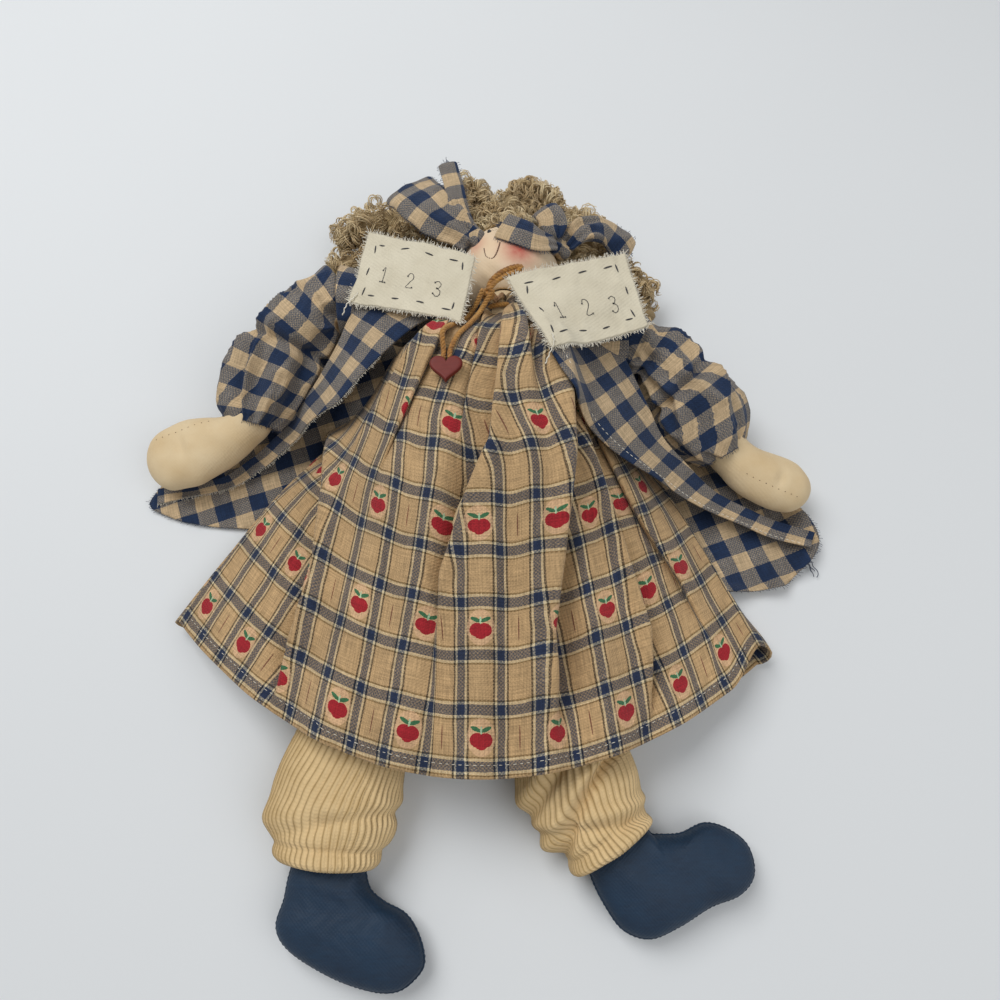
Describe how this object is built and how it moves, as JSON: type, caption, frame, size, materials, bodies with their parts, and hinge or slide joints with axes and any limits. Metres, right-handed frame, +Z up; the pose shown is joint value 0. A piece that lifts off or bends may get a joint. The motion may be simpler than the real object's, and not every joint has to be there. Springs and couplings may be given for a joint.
{
  "type": "rag doll",
  "caption": "Stuffed cloth rag doll lying on its back in a gathered plaid smock, open checked jacket, ribbed stockings and painted boots, with jointed limbs.",
  "frame": {"origin": "under the middle of the doll's box, on the surface that it lies on", "axes": "+Z up, away from that surface; +Y from the feet to the head; +X towards the viewer's right, the doll's own left"},
  "size_m": [0.374, 0.4296, 0.09],
  "materials": {
    "plaid_cotton": "woven plaid cotton, slubby, matt",
    "checked_homespun": "checked homespun cotton in navy and tan, frayed at raw edges",
    "curly_wool": "curly wool locks",
    "face_muslin": "stuffed muslin with rubbed blush",
    "collar_muslin": "off-white muslin with fringed edges and running stitch",
    "jute_twine": "three-strand jute twine",
    "painted_heart": "painted wood, satin",
    "black_thread": "embroidered black knot",
    "brown_thread": "embroidered brown line",
    "ribbed_knit": "ribbed cotton knit",
    "painted_boot_cloth": "canvas stiffened with navy paint",
    "muslin": "stuffed plain muslin"
  },
  "bodies": {
    "torso": {"torso": "muslin", "dress_bodice": "plaid_cotton", "dress_hip_band": "plaid_cotton", "jacket_back": "checked_homespun", "jacket_front_left": "checked_homespun", "jacket_front_right": "checked_homespun", "jacket_shoulder_left": "checked_homespun", "jacket_shoulder_right": "checked_homespun", "neck_twine": "jute_twine", "twine_knot": "jute_twine", "twine_bow_loop": "jute_twine", "twine_tail_left": "jute_twine", "twine_tail_right": "jute_twine"},
    "head": {"head": "face_muslin", "hair_cap": "curly_wool", "hair_lock_left_1": "curly_wool", "hair_lock_left_2": "curly_wool", "hair_crown_1": "curly_wool", "hair_crown_2": "curly_wool", "hair_crown_3": "curly_wool", "hair_lock_right_1": "curly_wool", "hair_lock_right_2": "curly_wool", "bow_left_knot": "checked_homespun", "bow_left_loop": "checked_homespun", "bow_left_tail": "checked_homespun", "bow_right_knot": "checked_homespun", "bow_right_loop": "checked_homespun", "bow_right_fold": "checked_homespun", "bow_right_tail": "checked_homespun", "eye_left": "black_thread", "eye_right": "black_thread", "nose_stitch": "brown_thread"},
    "left_arm": {"left_arm": "muslin", "left_sleeve": "checked_homespun"},
    "right_arm": {"right_arm": "muslin", "right_sleeve": "checked_homespun"},
    "left_collar": {"collar_left": "collar_muslin"},
    "right_collar": {"collar_right": "collar_muslin"},
    "heart": {"heart_charm": "painted_heart"},
    "lap": {"dress_skirt": "plaid_cotton"},
    "left_leg": {"left_leg": "muslin", "left_stocking": "ribbed_knit"},
    "right_leg": {"right_leg": "muslin", "right_stocking": "ribbed_knit"},
    "left_foot": {"left_boot": "painted_boot_cloth"},
    "right_foot": {"right_boot": "painted_boot_cloth"}
  },
  "joints": [
    {"name": "neck_nod", "type": "hinge", "parent": "torso", "child": "head", "pos_m": [0.013, 0.11401, 0.054], "axis": [1, 0, 0], "range_deg": [0, 25]},
    {"name": "left_shoulder_swing", "type": "hinge", "parent": "torso", "child": "left_arm", "pos_m": [-0.078, 0.13001, 0.042], "axis": [-1, 0, 0], "range_deg": [0, 90]},
    {"name": "right_shoulder_swing", "type": "hinge", "parent": "torso", "child": "right_arm", "pos_m": [0.079, 0.10001, 0.042], "axis": [-1, 0, 0], "range_deg": [0, 90]},
    {"name": "hip_fold", "type": "hinge", "parent": "torso", "child": "lap", "pos_m": [0, -0.01799, 0.03], "axis": [-1, 0, 0], "range_deg": [0, 80], "deforming": ["dress_hip_band"]},
    {"name": "left_leg_spread", "type": "hinge", "parent": "lap", "child": "left_leg", "pos_m": [-0.028, -0.03399, 0.0197], "axis": [0, 0, 1], "range_deg": [-10, 4]},
    {"name": "right_leg_spread", "type": "hinge", "parent": "lap", "child": "right_leg", "pos_m": [0.028, -0.03399, 0.0197], "axis": [0, 0, 1], "range_deg": [-4, 10]},
    {"name": "left_ankle_turn", "type": "hinge", "parent": "left_leg", "child": "left_foot", "pos_m": [-0.0694, -0.16399, 0.0115], "axis": [0, 0, 1], "range_deg": [-12, 6]},
    {"name": "right_ankle_turn", "type": "hinge", "parent": "right_leg", "child": "right_foot", "pos_m": [0.0682, -0.15799, 0.0115], "axis": [0, 0, 1], "range_deg": [-6, 12]},
    {"name": "left_collar_flip", "type": "hinge", "parent": "torso", "child": "left_collar", "pos_m": [-0.006, 0.10951, 0.088], "axis": [0.2012, 0.9795, 0], "range_deg": [0, 70]},
    {"name": "right_collar_flip", "type": "hinge", "parent": "torso", "child": "right_collar", "pos_m": [0.0255, 0.09301, 0.088], "axis": [0.4153, -0.9097, 0], "range_deg": [0, 70]},
    {"name": "heart_swing", "type": "hinge", "parent": "torso", "child": "heart", "pos_m": [-0.015, 0.06901, 0.0883], "axis": [-1, 0, 0], "range_deg": [0, 85]}
  ]
}
